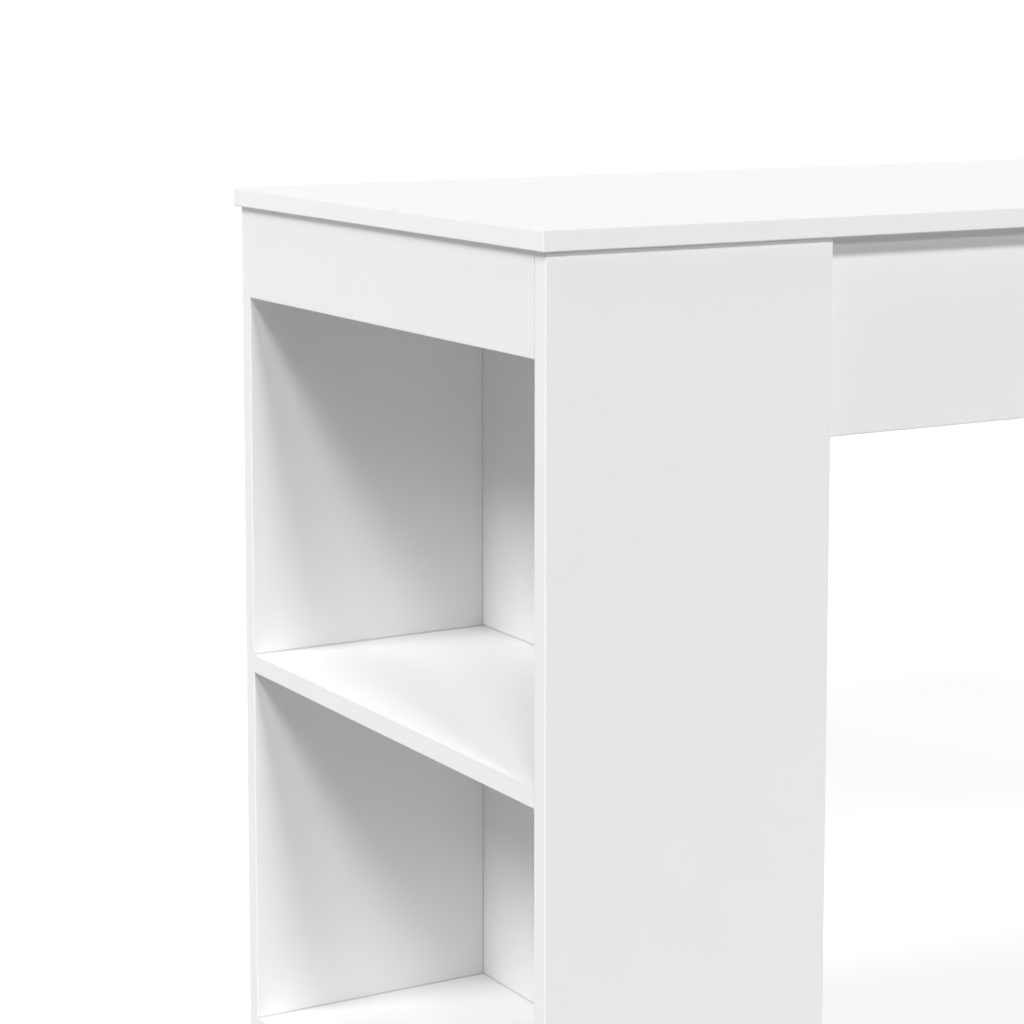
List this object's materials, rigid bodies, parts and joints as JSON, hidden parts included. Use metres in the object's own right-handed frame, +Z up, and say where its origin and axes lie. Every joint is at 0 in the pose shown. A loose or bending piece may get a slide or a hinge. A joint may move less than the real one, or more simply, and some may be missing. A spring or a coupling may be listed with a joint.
{
  "type": "corner desk",
  "caption": "L-shaped desk in white board: open shelf column at the left end, aprons set back under the tops, board end panels, cam lock fittings.",
  "frame": {"origin": "on the floor, under the middle of the whole outline", "axes": "+X runs right along the main wing, +Y runs from the user's side of the main wing to its rear edge, +Z up"},
  "size_m": [1.4, 1.2, 0.75],
  "materials": {
    "white_board": "smooth white melamine face with a fine satin texture, on chipboard, with white edge band",
    "cam_zinc": "dull die-cast zinc",
    "zinced_steel": "bright zinc-plated steel",
    "glide_plastic": "off-white moulded plastic"
  },
  "bodies": {
    "root": {"bolt_bottom_shelf_front": "zinced_steel", "bolt_bottom_shelf_rear": "zinced_steel", "bolt_column_front_top": "zinced_steel", "bolt_column_rear_top": "zinced_steel", "bolt_end_panel_front_top": "zinced_steel", "bolt_end_panel_rear_top": "zinced_steel", "bolt_front_apron_left": "zinced_steel", "bolt_front_apron_right": "zinced_steel", "bolt_middle_shelf_front": "zinced_steel", "bolt_middle_shelf_rear": "zinced_steel", "bolt_rear_apron_left": "zinced_steel", "bolt_rear_apron_right": "zinced_steel", "bolt_return_apron_inner_corner": "zinced_steel", "bolt_return_apron_inner_end": "zinced_steel", "bolt_return_apron_outer_corner": "zinced_steel", "bolt_return_apron_outer_end": "zinced_steel", "bolt_return_panel_left_top": "zinced_steel", "bolt_return_panel_right_top": "zinced_steel", "bottom_shelf": "white_board", "cam_bottom_shelf_front": "cam_zinc", "cam_bottom_shelf_rear": "cam_zinc", "cam_column_front_top": "cam_zinc", "cam_column_rear_top": "cam_zinc", "cam_end_panel_front_top": "cam_zinc", "cam_end_panel_rear_top": "cam_zinc", "cam_front_apron_left": "cam_zinc", "cam_front_apron_right": "cam_zinc", "cam_middle_shelf_front": "cam_zinc", "cam_middle_shelf_rear": "cam_zinc", "cam_rear_apron_left": "cam_zinc", "cam_rear_apron_right": "cam_zinc", "cam_return_apron_inner_corner": "cam_zinc", "cam_return_apron_inner_end": "cam_zinc", "cam_return_apron_outer_corner": "cam_zinc", "cam_return_apron_outer_end": "cam_zinc", "cam_return_panel_left_top": "cam_zinc", "cam_return_panel_right_top": "cam_zinc", "front_apron": "white_board", "glide_column_front_left": "glide_plastic", "glide_column_front_right": "glide_plastic", "glide_column_rear_left": "glide_plastic", "glide_column_rear_right": "glide_plastic", "glide_end_panel_front": "glide_plastic", "glide_end_panel_rear": "glide_plastic", "glide_return_panel_left": "glide_plastic", "glide_return_panel_right": "glide_plastic", "main_top": "white_board", "middle_shelf": "white_board", "plinth": "white_board", "rear_apron": "white_board", "return_apron_inner": "white_board", "return_apron_outer": "white_board", "return_end_panel": "white_board", "return_top": "white_board", "right_end_panel": "white_board", "shelf_back": "white_board", "shelf_side_front": "white_board", "shelf_side_rear": "white_board", "shelf_top_rail": "white_board", "top_joining_plate": "zinced_steel"}
  },
  "joints": []
}
